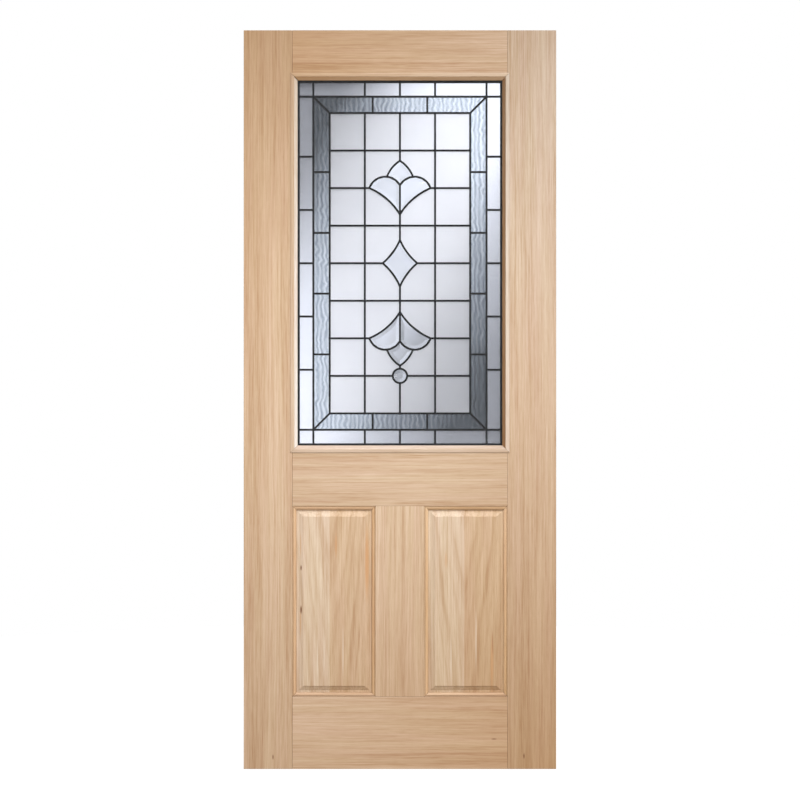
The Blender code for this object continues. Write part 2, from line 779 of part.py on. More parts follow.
def make_bevelled_piece(name, edge, plateau, material):
    """Flat at the back, with its front ground down to the edge all round."""
    half = CUT_GLASS_THICKNESS / 2
    bm = bmesh.new()
    back = [bm.verts.new((x, half, z)) for x, z in placed(edge)]
    rim = [bm.verts.new((x, -half, z)) for x, z in placed(edge)]
    raised = [bm.verts.new((x, -half - BEVEL_RISE, z)) for x, z in placed(plateau)]
    bridge(bm, back, rim)
    bridge(bm, rim, raised)
    bm.faces.new(back)
    bm.faces.new(raised)
    return add_object(name, bm, material)


def make_bevelled_glass(material):
    inset = bevelled_inset()
    for name, sides in bevelled_outlines().items():
        edge = outline_points(inset_outline(sides, inset))
        plateau = outline_points(inset_outline(sides, inset + BEVEL_FACET_WIDTH))
        make_bevelled_piece(name, edge, plateau, material)
    radius = JEWEL_RADIUS - inset
    make_bevelled_piece(
        "round_jewel", jewel_circle(radius), jewel_circle(radius - BEVEL_FACET_WIDTH), material
    )


def make_sight_cutter():
    """Every opening between the cames, cut right through."""
    bm = bmesh.new()
    for sides in shown_openings():
        points = outline_points(inset_outline(sides, CAME_WIDTH / 2))
        add_prism(bm, placed(points), -CAME_DEPTH, CAME_DEPTH)
    add_prism(bm, placed(jewel_circle(JEWEL_RADIUS - CAME_WIDTH / 2)), -CAME_DEPTH, CAME_DEPTH)
    return add_cutter("sight_cutter", bm)


def make_slot_cutters(ornament_cutter):
    """The channels in the cames that the edges of the glass sit in."""
    half = CUT_GLASS_THICKNESS / 2 + TOUCH_GAP
    inset = CAME_HEART / 2
    bm = bmesh.new()
    for sides in fused_outlines(inset).values():
        add_prism(bm, placed(outline_points(sides)), -half, half)
    for sides in bevelled_outlines().values():
        points = outline_points(inset_outline(sides, bevelled_inset() - TOUCH_GAP))
        add_prism(bm, placed(points), -half, half)
    jewel = jewel_circle(JEWEL_RADIUS - bevelled_inset() + TOUCH_GAP)
    add_prism(bm, placed(jewel), -half, half)
    slots = add_cutter("slot_cutter", bm)
    rows = bmesh.new()
    for row in range(FIELD_ROWS):
        add_prism(rows, placed(outline_points(field_row_outline(row, inset))), -half, half)
    row_slots = add_cutter("row_slot_cutter", rows)
    cut(row_slots, ornament_cutter)
    return slots, row_slots


def make_came_lattice(material, ornament_cutter):
    """The soldered net of H-section cames, with the edge came tucked into the spacer."""
    tuck = SPACER_CHANNEL_DEPTH - TOUCH_GAP
    half_width = SIGHT_HALF_WIDTH + tuck
    half_height = SIGHT_HALF_HEIGHT + tuck
    half = CAME_DEPTH / 2
    lattice = box(
        "came_lattice",
        (LIGHT_X - half_width, -half, LIGHT_Z - half_height),
        (LIGHT_X + half_width, half, LIGHT_Z + half_height),
        material,
    )
    for cutter in make_slot_cutters(ornament_cutter):
        cut(lattice, cutter)
    cut(lattice, make_sight_cutter())


# Sealed unit


def make_panes(material):
    gap = UNIT_EDGE_GAP
    outer = LEAF_THICKNESS / 2 - UNIT_RECESS
    inner = outer - PANE_THICKNESS
    low_x, high_x = INNER_LEFT + gap, INNER_RIGHT - gap
    low_z, high_z = GLAZED_BOTTOM + gap, GLAZED_TOP - gap
    box("front_pane", (low_x, -outer, low_z), (high_x, -inner, high_z), material)
    box("back_pane", (low_x, inner, low_z), (high_x, outer, high_z), material)


def make_spacer(material):
    """A channel round the unit that parts the panes and holds the edge of the leaded light."""
    half = LEAF_THICKNESS / 2 - UNIT_RECESS - PANE_THICKNESS - TOUCH_GAP
    slot = CAME_DEPTH / 2 + TOUCH_GAP
    outer = UNIT_EDGE_GAP
    inner = UNIT_EDGE_GAP + SPACER_WIDTH
    floor = inner - SPACER_CHANNEL_DEPTH
    section = [
        (outer, -half),
        (inner, -half),
        (inner, -slot),
        (floor, -slot),
        (floor, slot),
        (inner, slot),
        (inner, half),
        (outer, half),
    ]
    bm = bmesh.new()
    rings = [rectangle_ring(bm, GLAZED_OPENING, inset, y) for inset, y in section]
    for i, ring in enumerate(rings):
        bridge(bm, ring, rings[(i + 1) % len(rings)])
    return add_object("spacer_frame", bm, material)


def clear_scene():
    for obj in list(bpy.data.objects):
        bpy.data.objects.remove(obj)


def main():
    clear_scene()
    materials = make_materials()
    make_boards(materials["oak"])
    for side, opening in PANEL_OPENINGS.items():
        make_raised_panel(f"{side}_panel", opening, materials["oak"])
        prefix = f"{side}_panel_moulding"
        mitred_frame(prefix, panel_moulding_profile(), opening, materials["oak"])
    bead = glazing_bead_profile()
    mitred_frame("glazing_bead", bead, GLAZED_OPENING, materials["oak"], BEAD_OPEN_MITRE)
    make_panes(materials["clear_glass"])
    make_spacer(materials["spacer"])
    ornament_cutter = make_ornament_cutter()
    make_flat_glass(materials, ornament_cutter)
    make_bevelled_glass(materials["bevelled_glass"])
    make_came_lattice(materials["came"], ornament_cutter)


main()
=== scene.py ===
"""The looks of a glazed external door leaf: oak with its grain, a leaded light with bevelled sprays,
rippled tinted glass and stippled obscure glass, in a plain studio."""

import math
from collections import namedtuple

import bmesh
import bpy
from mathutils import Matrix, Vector, noise


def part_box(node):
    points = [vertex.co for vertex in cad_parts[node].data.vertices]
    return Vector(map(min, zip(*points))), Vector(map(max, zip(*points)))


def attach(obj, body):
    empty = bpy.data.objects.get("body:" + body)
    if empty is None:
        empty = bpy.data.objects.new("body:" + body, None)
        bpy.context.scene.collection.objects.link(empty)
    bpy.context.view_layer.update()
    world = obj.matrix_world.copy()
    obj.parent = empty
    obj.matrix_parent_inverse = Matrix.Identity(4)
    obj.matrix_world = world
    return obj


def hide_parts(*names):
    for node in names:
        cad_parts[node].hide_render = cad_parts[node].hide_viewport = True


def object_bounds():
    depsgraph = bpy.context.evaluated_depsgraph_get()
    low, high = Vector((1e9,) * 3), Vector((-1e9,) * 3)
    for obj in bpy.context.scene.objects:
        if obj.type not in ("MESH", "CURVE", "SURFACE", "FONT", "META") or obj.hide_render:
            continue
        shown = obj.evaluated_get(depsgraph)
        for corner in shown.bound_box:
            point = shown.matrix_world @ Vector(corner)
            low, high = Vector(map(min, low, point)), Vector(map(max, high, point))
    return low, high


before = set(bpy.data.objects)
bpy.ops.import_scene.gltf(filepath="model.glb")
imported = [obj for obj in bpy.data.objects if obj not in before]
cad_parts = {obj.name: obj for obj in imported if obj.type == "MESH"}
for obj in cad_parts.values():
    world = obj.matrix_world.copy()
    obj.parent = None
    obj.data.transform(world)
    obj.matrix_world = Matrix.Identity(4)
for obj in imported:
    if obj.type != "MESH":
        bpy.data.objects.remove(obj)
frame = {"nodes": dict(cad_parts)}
cad_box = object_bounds()
nodes = frame["nodes"]

# The photograph, in pixels, and where the leaf's face lies in it
PHOTO_SIZE = 800
LEAF_LEFT_PX = 243.7
LEAF_RIGHT_PX = 556.2
LEAF_MIDDLE_PY = 399.65

# The leaf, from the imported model
LEAF_LOW, LEAF_HIGH = cad_box
LEAF_MIDDLE = (LEAF_LOW + LEAF_HIGH) / 2
FACE_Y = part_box("hanging_stile")[0].y
METRES_PER_PX = (LEAF_HIGH.x - LEAF_LOW.x) / (LEAF_RIGHT_PX - LEAF_LEFT_PX)

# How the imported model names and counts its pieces
SIDES = ("top", "bottom", "left", "right")
LEVEL_SIDES = ("top", "bottom")
FIELD_COLUMNS = 4
FIELD_ROWS = 8

# Spans of noise that a remap spreads out
NARROW_NOISE = (0.35, 0.65)
BROAD_NOISE = (0.3, 0.7)

# Camera
CAMERA_DISTANCE = 5.0
CAMERA_LENS = 85.0
CAMERA_REACH = 50.0

# Suns, in degrees. Their azimuth goes from the front to the right
SUN_DISTANCE = 4.0
KEY_ELEVATION, KEY_AZIMUTH, KEY_SPREAD, KEY_STRENGTH = 48.0, 22.0, 26.0, 2.48
BACK_ELEVATION, BACK_AZIMUTH, BACK_SPREAD, BACK_STRENGTH = 35.0, 160.0, 30.0, 2.6

# A pool of light on the middle of the door, and an upright strip at its left
POOL_PLACE = (0.42, -1.75, 0.72)
POOL_TARGET = (0.36, 0.0, -0.14)
POOL_SIZE = (0.6, 0.6)
POOL_SPREAD = 90.0
POOL_POWER = 5.0
STRIP_PLACE = (-1.05, -2.6, 0.25)
STRIP_SIZE = (0.35, 1.5)
STRIP_SPREAD = 180.0
STRIP_POWER = 6.0

# The sky, warm below and white above, between two heights of a ray's direction. Mirrored rays and rays
# through the glass see an even grey instead, and the camera sees white
SKY_ABOVE = (0.40, 0.40, 0.40, 1.0)
SKY_BELOW = (0.40, 0.29, 0.19, 1.0)
SKY_BELOW_HEIGHT, SKY_ABOVE_HEIGHT = -0.5, 0.6
SKY_MIRRORED = 0.05
SKY_THROUGH_GLASS = 0.60
SKY_SEEN = 1.0

# Floor
FLOOR_RADIUS = 3.2
FLOOR_SIDES = 64
FLOOR_SHADE = 0.12
FLOOR_GLOW = 0.92

# The card behind the glass, as brightness from its lower right corner to its upper left one, and from
# its lower left corner to its upper right one
CARD_BEHIND = 0.6
CARD_SPREAD = 1.2
CARD_ACROSS = (
    (0.0, 0.02), (0.14, 0.05), (0.31, 0.42), (0.44, 0.95),
    (0.58, 1.0), (0.69, 0.88), (0.87, 0.04), (1.0, 0.02),
)
CARD_ALONG = ((0.0, 0.86), (0.45, 0.73), (0.85, 1.12), (1.0, 1.12))
CARD_STRENGTH = 1.42
CARD_COOL_CAST = 0.985
CARD_UNEVEN = 0.09
CARD_PATCHES_PER_METRE = 18.0

# Painted shade: crevices in the timber are painted darker this far from a corner. It starts where a point
# sees less than a share of its surroundings, on the broad boards or on the trims, and is full at DEEP
CREVICE_SHADE_REACH = 0.0026
CREVICE_SHADE_SAMPLES = 8
EXPOSED, SHELTERED, DEEP = 0.88, 0.72, 0.15

# Softened edges of the timber
WELD_REACH = 0.00001
BOARD_ARRIS = 0.0004
TRIM_ARRIS = 0.0003
ARRIS_SEGMENTS = 2
ARRIS_FROM_ANGLE = math.radians(25)
NORMAL_WEIGHT = 90

# Cames: steps of their rounded shoulders, as width and drop, and how far the glass lies from their lines
CAME_FRONT_Y, CAME_BACK_Y = (corner.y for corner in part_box("came_lattice"))
CAME_SHOULDERS = ((0.00035, 0.0006), (0.0008, 0.0002))
CAME_FACE_REACH = 0.00001
GLASS_SETTING = 0.0009

# Made pieces are smooth up to these angles between faces, in degrees
LEAD_SHARP_FROM = 50
GLASS_SHARP_FROM = 40

# Solder: a blob's profile goes from its foot to its top, as shares of its radius and its rise. Ornaments
# cover the middle crossing of some of the level lines
SOLDER_RADIUS = 0.0034
SOLDER_RISE = 0.0004
SOLDER_SIDES = 14
SOLDER_PROFILE = ((1.0, 0.0), (0.92, 0.45), (0.68, 0.82), (0.34, 0.97))
SOLDER_WOBBLE = 0.10
SOLDER_WOBBLE_PER_METRE = 90.0
MIDDLE_COLUMN_LINE = 2
ORNAMENT_LINES = (2, 4, 6, 7)

# Tinted glass: ripples in its front face, and soft streaks of colour
TINTED_CELL = 0.0022
RIPPLE_RISE = 0.00016
RIPPLE_ACROSS = 0.0105
RIPPLE_UP = 0.055
RIPPLE_WANDER = 0.006
RIPPLE_WANDER_ACROSS, RIPPLE_WANDER_UP = 25.0, 32.0
RIPPLE_SEED_STEP = 3.7
RIPPLE_SEED_SHIFT = 7.0
STREAK_SPACING = 0.0125
STREAK_WANDER = 0.022
STREAK_WANDER_ACROSS, STREAK_WANDER_UP = 26.0, 34.0
STREAK_PATCH_ACROSS, STREAK_PATCH_UP = 70.0, 16.0
FAINT_STREAK, BOLD_STREAK = 0.12, 0.5


def photo_point(px, py):
    """The point on the leaf's face, as (x, z), at a pixel of the photograph."""
    return (px - LEAF_LEFT_PX) * METRES_PER_PX, (LEAF_MIDDLE_PY - py) * METRES_PER_PX


def srgb(red, green, blue):
    """A colour given as 0 to 255 in sRGB, made linear."""
    linear = []
    for level in (red, green, blue):
        share = level / 255
        linear.append(share / 12.92 if share <= 0.04045 else ((share + 0.055) / 1.055) ** 2.4)
    return (*linear, 1.0)


# Node building


class Value:
    """What a node gives out. It takes + - * / and abs() as a number does, by adding math nodes."""

    def __init__(self, tree, socket):
        self.tree = tree
        self.socket = socket

    def __add__(self, other):
        return self.tree.math("ADD", self, other)

    def __sub__(self, other):
        return self.tree.math("SUBTRACT", self, other)

    def __rsub__(self, other):
        return self.tree.math("SUBTRACT", other, self)

    def __mul__(self, other):
        return self.tree.math("MULTIPLY", self, other)

    def __truediv__(self, other):
        return self.tree.math("DIVIDE", self, other)

    def __abs__(self):
        return self.tree.math("ABSOLUTE", self)


class NodeTree:
    """A tree of nodes. Each helper takes values, plain numbers or colours and gives a value back."""

    def __init__(self, tree):
        self.tree = tree

    def add(self, kind, **settings):
        node = self.tree.nodes.new(kind)
        for name, value in settings.items():
            setattr(node, name, value)
        return node

    def feed(self, socket, value):
        if isinstance(value, Value):
            self.tree.links.new(value.socket, socket)
        else:
            socket.default_value = value

    def output(self, node, key=0):
        return Value(self, node.outputs[key])

    def math(self, operation, *values):
        node = self.add("ShaderNodeMath", operation=operation)
        for socket, value in zip(node.inputs, values):
            self.feed(socket, value)
        return self.output(node)

    def vector(self, x, y, z):
        node = self.add("ShaderNodeCombineXYZ")
        for socket, value in zip(node.inputs, (x, y, z)):
            self.feed(socket, value)
        return self.output(node)

    def split(self, vector):
        node = self.add("ShaderNodeSeparateXYZ")
        self.feed(node.inputs[0], vector)
        return [self.output(node, axis) for axis in range(3)]

    def coordinates(self, kind):
        """Object coordinates, which are metres in the frame of the door, or Generated ones."""
        return self.output(self.add("ShaderNodeTexCoord"), kind)

    def length(self, vector):
        node = self.add("ShaderNodeVectorMath", operation="LENGTH")
        self.feed(node.inputs[0], vector)
        return self.output(node, "Value")

    def noise(self, vector, scale=1.0, detail=2.0, roughness=0.5):
        node = self.add("ShaderNodeTexNoise")
        self.feed(node.inputs["Vector"], vector)
        node.inputs["Scale"].default_value = scale
        node.inputs["Detail"].default_value = detail
        node.inputs["Roughness"].default_value = roughness
        return self.output(node, "Fac")

    def remap(self, value, low, high, to_low=0.0, to_high=1.0, smooth=False):
        node = self.add("ShaderNodeMapRange", interpolation_type="SMOOTHSTEP" if smooth else "LINEAR")
        for name, amount in (
            ("Value", value), ("From Min", low), ("From Max", high), ("To Min", to_low), ("To Max", to_high)
        ):
            self.feed(node.inputs[name], amount)
        return self.output(node)

    def mix(self, share, first, second, blend="MIX"):
        node = self.add("ShaderNodeMix", data_type="RGBA", blend_type=blend)
        colour_inputs = [socket for socket in node.inputs if socket.type == "RGBA"]
        for socket, value in zip((node.inputs["Factor"], *colour_inputs), (share, first, second)):
            self.feed(socket, value)
        return self.output(node, 2)

    def tinted(self, colour, tint):
        return self.mix(1.0, colour, tint, "MULTIPLY")

    def ramp(self, share, stops):
        node = self.add("ShaderNodeValToRGB")
        elements = node.color_ramp.elements
        while len(elements) < len(stops):
            elements.new(0.5)
        for element, (position, colour) in zip(elements, stops):
            element.position = position
            element.color = colour
        self.feed(node.inputs[0], share)
        return self.output(node)


class Shader(NodeTree):
    """A new material and its nodes."""

    def __init__(self, name):
        self.material = bpy.data.materials.new(name)
        self.material.use_nodes = True
        super().__init__(self.material.node_tree)
        self.surface = self.tree.nodes["Principled BSDF"]

    def bump(self, height, distance, strength=1.0):
        node = self.add("ShaderNodeBump")
        node.inputs["Strength"].default_value = strength
        node.inputs["Distance"].default_value = distance
        self.feed(node.inputs["Height"], height)
        self.feed(self.surface.inputs["Normal"], self.output(node))

    def set(self, **values):
        """Plain values or node values for the surface, by the socket's name with _ for a space."""
        for name, value in values.items():
            self.feed(self.surface.inputs[name.replace("_", " ")], value)


# Oak

OAK_DARK = srgb(180, 148, 117)
OAK_MIDDLE = srgb(203, 180, 156)
OAK_LIGHT = srgb(217, 198, 178)
OAK_TONES = ((0.22, OAK_DARK), (0.50, OAK_MIDDLE), (0.76, OAK_LIGHT))
OAK_KNOT = srgb(112, 68, 40)
# Painted shade for the oak's crevices
OAK_CREVICE_SHADE = srgb(110, 70, 42)
OAK_ORANGE = srgb(190, 138, 92)
OAK_PALE = srgb(236, 220, 198)
OAK_BROWN = srgb(150, 100, 62)
OAK_YELLOW_CAST = (1.0, 0.995, 0.96, 1.0)
OAK_PINK_CAST = (1.0, 0.972, 0.968, 1.0)
FAR_HALF_TINT = (0.915, 0.84, 0.755, 1.0)

# The grain in layers: features to a metre across it and along it, the noise's detail, a shift that sets
# each layer's noise apart, and the layer's share in the tone
Layer = namedtuple("Layer", "across along detail shift share")
BANDS = Layer(across=26.0, along=0.6, detail=2.0, shift=3.1, share=0.42)
LINES = Layer(across=95.0, along=1.8, detail=2.0, shift=7.3, share=0.32)
STREAKS = Layer(across=290.0, along=4.5, detail=2.0, shift=11.7, share=0.58)
FIBRES = Layer(across=800.0, along=22.0, detail=2.0, shift=23.9, share=0.50)
PORES = Layer(across=1500.0, along=45.0, detail=1.0, shift=41.3, share=0.30)
PORES_FROM, PORES_FULL = 0.60, 0.74

# The whole grain sways, and goes between a yellow and a pink cast
SWAY_ACROSS, SWAY_ALONG, SWAY_REACH = 3.0, 1.3, 0.016
CAST_ACROSS, CAST_ALONG = 45.0, 2.5
YELLOW_UNTIL, PINK_FROM = 0.36, 0.64

# Book-matched figure: how steep its peaks are at the joint and how that grows away from it, how they
# wander, and how far apart they stand
PEAK_STEEPNESS, PEAK_STEEPENING = 4.0, 45.0
PEAK_WANDER_ACROSS, PEAK_WANDER_ALONG, PEAK_WANDER = 22.0, 6.0, 0.16
PEAK_SCALE = 0.30

# Oak's surface
ROUGH_FROM, ROUGH_TO = 0.46, 0.58
FIBRE_RELIEF = 0.5
GRAIN_RELIEF, GRAIN_RELIEF_STRENGTH = 0.00012, 0.6

# Painted falloff of the light: the oak is painted palest at this pixel of the photograph, where the light
# is strongest, and darker and warmer away from it, in ovals that lean to the upper right
PALEST_PIXEL = (535, 123)
FALLOFF_LEAN = math.radians(24.4)
FALLOFF_STRETCH = 0.28
FALLOFF_FROM, FALLOFF_TO = 0.02, 0.93
FALLOFF_SHADE_TINT = (0.753, 0.582, 0.40, 1.0)

# Marks in the oak, at a pixel of the photograph, with half sizes in metres. A mark has its full shade out
# to a share of them
Mark = namedtuple("Mark", "px py width length shade strength")
MARK_CORE = 0.25
HANGING_STILE_KNOT = Mark(px=273, py=757, width=0.0022, length=0.009, shade=OAK_KNOT, strength=0.9)
LOCK_STILE_KNOT = Mark(px=524, py=756, width=0.0024, length=0.010, shade=OAK_KNOT, strength=0.9)
BOTTOM_RAIL_KNOT = Mark(px=494, py=739, width=0.0018, length=0.010, shade=OAK_KNOT, strength=0.9)
PANEL_MARKS = {
    "left": {
        "upper edge stain": Mark(300.5, 545, 0.0030, 0.050, OAK_ORANGE, 0.50),
        "lower edge stain": Mark(300.5, 622, 0.0032, 0.060, OAK_ORANGE, 0.55),
        "upper edge knot": Mark(301, 568, 0.0028, 0.010, OAK_KNOT, 1.0),
        "lower edge knot": Mark(301, 610, 0.0032, 0.015, OAK_KNOT, 1.0),
        "outer pale streak": Mark(317.5, 662, 0.0018, 0.080, OAK_PALE, 0.35),
        "inner pale streak": Mark(324, 655, 0.0022, 0.090, OAK_PALE, 0.30),
        "far pale streak": Mark(343, 652, 0.0022, 0.090, OAK_PALE, 0.35),
        "orange fleck": Mark(336, 545, 0.0045, 0.045, OAK_ORANGE, 0.55),
        "orange side": Mark(367, 563, 0.0075, 0.130, OAK_ORANGE, 0.80),
        "brown line": Mark(359, 638, 0.0018, 0.045, OAK_BROWN, 0.60),
    },
    "right": {
        "orange fleck": Mark(446, 560, 0.0050, 0.030, OAK_ORANGE, 0.40),
        "outer pale streak": Mark(451, 658, 0.0022, 0.090, OAK_PALE, 0.38),
        "far pale streak": Mark(476, 640, 0.0022, 0.110, OAK_PALE, 0.38),
        "orange side": Mark(492, 665, 0.0060, 0.100, OAK_ORANGE, 0.60),
        "brown line": Mark(492.5, 643, 0.0018, 0.045, OAK_BROWN, 0.70),
    },
}

# How each board differs
BOARDS = {
    "hanging_stile": dict(
        seed=1.0, tint=(1.0, 1.045, 1.09), crevice_shade_from=EXPOSED, marks=(HANGING_STILE_KNOT,)
    ),
    "lock_stile": dict(seed=2.3, tint=(0.98, 1.02, 1.08), crevice_shade_from=EXPOSED, marks=(LOCK_STILE_KNOT,)),
    "muntin": dict(seed=3.7, tint=(1.0, 1.04, 1.07)),
    "top_rail": dict(along="x", seed=4.9, tint=(1.02, 1.02, 1.01), drift=0.015),
    "lock_rail": dict(along="x", seed=6.1, tint=(0.95, 0.98, 1.01), crevice_shade_from=EXPOSED),
    "bottom_rail": dict(along="x", seed=7.7, tint=(1.05, 1.10, 1.17), drift=0.03, marks=(BOTTOM_RAIL_KNOT,)),
}

# How the panels differ, and where their two book-matched halves meet
PANEL_TINT = (1.065, 1.18, 1.30)
PANEL_FIGURE = 1.7
PANEL_SEEDS = {"left": 8.2, "right": 9.6}
PANEL_JOINT_PX = {"left": 329.6, "right": 464.3}

# How each strip of the trims differs
TRIM_TINTS = {
    "glazing_bead": {
        "top": (1.11, 1.18, 1.25),
        "bottom": (0.86, 0.91, 0.98),
        "left": (0.94, 1.00, 1.08),
        "right": (1.08, 1.25, 1.49),
    },
    "left_panel_moulding": {
        "top": (1.06, 1.00, 0.90),
        "bottom": (1.00, 0.98, 0.98),
        "left": (1.12, 1.09, 1.02),
        "right": (1.14, 1.11, 1.02),
    },
    "right_panel_moulding": {
        "top": (1.08, 1.03, 0.93),
        "bottom": (1.04, 1.04, 1.06),
        "left": (1.15, 1.13, 1.04),
        "right": (1.15, 1.13, 1.04),
    },
}
TRIM_FIGURE = 1.4
TRIM_DRIFT = {"x": 0.08, "z": 0.02}
TRIM_FIRST_SEED, TRIM_SEED_STEP, STRIP_SEED_STEP = 12.0, 4, 1.1

# Painted light and shade on the slope of each bead, where it goes down to the glass, as depths below the
# board's face: each slope is painted lighter or darker for the light that falls on it
SLOPE_LIGHT_AND_SHADE = {
    "top": (1.21, 1.20, 1.15),
    "bottom": (0.82, 0.87, 1.00),
    "left": (1.38, 1.78, 2.45),
    "right": (0.56, 0.45, 0.33),
}
SLOPE_STARTS, SLOPE_FULL = -0.0008, 0.0006


def ring_coordinate(shader, across, along, joint, drift, seed):
    """Distance across the growth rings, in metres. With a joint the board is book-matched about it,
    and its figure stands on the joint in loose nested peaks."""
    if joint is None:
        return along * drift + across
    away = abs(across - joint)
    steep = away * (away * PEAK_STEEPENING + PEAK_STEEPNESS)
    place = shader.vector(across * PEAK_WANDER_ACROSS + seed, 0.0, along * PEAK_WANDER_ALONG)
    loose = (shader.noise(place) - 0.5) * PEAK_WANDER + along
    return (steep - loose) * PEAK_SCALE


def painted_falloff(shader, x, z):
    """How far the painted falloff of the light darkens the oak, from 0 at its palest to 1."""
    palest_x, palest_z = photo_point(*PALEST_PIXEL)
    off_x, off_z = x - palest_x, z - palest_z
    lean_x, lean_z = math.sin(FALLOFF_LEAN), math.cos(FALLOFF_LEAN)
    uphill = off_x * lean_x + off_z * lean_z
    aside = off_x * lean_z - off_z * lean_x
    oval = shader.length(shader.vector(uphill * FALLOFF_STRETCH, aside, 0.0))
    return shader.remap(oval, FALLOFF_FROM, FALLOFF_TO)


def add_mark(shader, colour, mark, along, across, lengthways):
    """The colour with a mark laid over it."""
    x, z = photo_point(mark.px, mark.py)
    mark_across, mark_lengthways = (x, z) if along == "z" else (z, x)
    off_across = (across - mark_across) / mark.width
    off_lengthways = (lengthways - mark_lengthways) / mark.length
    distance = shader.length(shader.vector(off_across, off_lengthways, 0.0))
    share = shader.remap(distance, 1.0, MARK_CORE, 0.0, mark.strength, smooth=True)
    return shader.mix(share, colour, mark.shade)


def oak(name, along="z", seed=0.0, tint=(1.0, 1.0, 1.0), joint=None, drift=0.0, figure=1.0, marks=(),
        slope_light_and_shade=None, crevice_shade_from=SHELTERED):
    """Oak with its grain along x or z: rings, streaks, fibres and pores, and small marks, with painted shade
    in its crevices and a painted falloff of the light. A slope tint of painted light and shade holds below
    the face of the door."""
    shader = Shader(name)
    x, y, z = shader.split(shader.coordinates("Object"))
    across, lengthways = (x, z) if along == "z" else (z, x)
    sway = shader.noise(shader.vector(across * SWAY_ACROSS, seed, lengthways * SWAY_ALONG))
    bent = (sway - 0.5) * SWAY_REACH + across

    def grain(side, layer):
        """Noise drawn out along the grain."""
        place = shader.vector(
            side * layer.across + (seed + layer.shift),
            y * layer.across,
            lengthways * layer.along + layer.shift,
        )
        return shader.noise(place, detail=layer.detail)

    bands = grain(ring_coordinate(shader, bent, lengthways, joint, drift, seed), BANDS)
    lines, streaks, fibres = (grain(bent, layer) for layer in (LINES, STREAKS, FIBRES))
    tone = (bands - 0.5) * (BANDS.share * figure)
    for noise_value, layer in ((lines, LINES), (streaks, STREAKS), (fibres, FIBRES)):
        tone = tone + (noise_value - 0.5) * layer.share
    colour = shader.ramp(tone + 0.5, OAK_TONES)
    warmth = shader.noise(shader.vector(bent * CAST_ACROSS, seed, lengthways * CAST_ALONG))
    cast = shader.mix(shader.remap(warmth, YELLOW_UNTIL, PINK_FROM), OAK_YELLOW_CAST, OAK_PINK_CAST)
    colour = shader.tinted(colour, cast)
    pore = shader.remap(grain(bent, PORES), PORES_FROM, PORES_FULL)
    colour = shader.mix(pore * PORES.share, colour, OAK_DARK)
    # Painted shade: the oak darkens and warms away from its palest point, as the light falls off
    colour = shader.mix(painted_falloff(shader, x, z), colour, shader.tinted(colour, FALLOFF_SHADE_TINT))
    if joint is not None:
        far_half = shader.math("GREATER_THAN", across, joint)
        colour = shader.mix(far_half, colour, shader.tinted(colour, FAR_HALF_TINT))
    # Painted shade: crevices darken where ambient occlusion finds little open space around a point
    crevice = shader.add("ShaderNodeAmbientOcclusion", samples=CREVICE_SHADE_SAMPLES)
    crevice.inputs["Distance"].default_value = CREVICE_SHADE_REACH
    shade = shader.remap(shader.output(crevice, "AO"), crevice_shade_from, DEEP)
    colour = shader.mix(shade, colour, OAK_CREVICE_SHADE)
    for mark in marks:
        colour = add_mark(shader, colour, mark, along, across, lengthways)
    final_tint = (*tint, 1.0)
    # Painted light and shade on the slope of a bead
    if slope_light_and_shade:
        slope = shader.remap(-FACE_Y - abs(y), SLOPE_STARTS, SLOPE_FULL)
        final_tint = shader.mix(slope, final_tint, (*slope_light_and_shade, 1.0))
    shader.set(
        Base_Color=shader.tinted(colour, final_tint),
        Roughness=shader.remap(streaks, *BROAD_NOISE, ROUGH_FROM, ROUGH_TO),
        Specular_IOR_Level=0.45,
    )
    shader.bump(fibres * FIBRE_RELIEF - pore, GRAIN_RELIEF, GRAIN_RELIEF_STRENGTH)
    return shader.material


def give(material, *names):
    for name in names:
        for slot in nodes[name].material_slots:
            slot.material = material


def dress_panels():
    for side, seed in PANEL_SEEDS.items():
        joint, _ = photo_point(PANEL_JOINT_PX[side], LEAF_MIDDLE_PY)
        marks = PANEL_MARKS[side].values()
        panel = oak(
            f"oak_{side}_panel", seed=seed, tint=PANEL_TINT, joint=joint, figure=PANEL_FIGURE, marks=marks
        )
        give(panel, f"{side}_panel")


def dress_trims():
    for number, (trim, tints) in enumerate(TRIM_TINTS.items()):
        for place, (side, tint) in enumerate(tints.items()):
            along = "x" if side in LEVEL_SIDES else "z"
            seed = TRIM_FIRST_SEED + TRIM_SEED_STEP * number + STRIP_SEED_STEP * place
            # Painted light and shade for the slopes of the glazing beads
            slope_light_and_shade = SLOPE_LIGHT_AND_SHADE[side] if trim == "glazing_bead" else None
            strip = oak(
                f"oak_{trim}_{side}", along, seed, tint, drift=TRIM_DRIFT[along], figure=TRIM_FIGURE,
                slope_light_and_shade=slope_light_and_shade,
            )
            give(strip, f"{trim}_front_{side}", f"{trim}_back_{side}")


def dress_oak():
    for name, look in BOARDS.items():
        give(oak(f"oak_{name}", **look), name)
    dress_panels()
    dress_trims()


def soften(name, width):
    """Rounds the sharp edges of a piece of timber."""
    obj = nodes[name]
    weld = obj.modifiers.new("weld", "WELD")
    weld.merge_threshold = WELD_REACH
    bevel = obj.modifiers.new("arris", "BEVEL")
    bevel.width = width
    bevel.segments = ARRIS_SEGMENTS
    bevel.limit_method = "ANGLE"
    bevel.angle_limit = ARRIS_FROM_ANGLE
    for face in obj.data.polygons:
        face.use_smooth = True
    normals = obj.modifiers.new("normals", "WEIGHTED_NORMAL")
    normals.weight = NORMAL_WEIGHT
    normals.keep_sharp = False


def soften_timber():
    for name in nodes:
        if name in BOARDS:
            soften(name, BOARD_ARRIS)
        elif "moulding" in name or "bead" in name or name.endswith("_panel"):
            soften(name, TRIM_ARRIS)


# Glass, lead and spacer

WHITE = srgb(255, 255, 255)

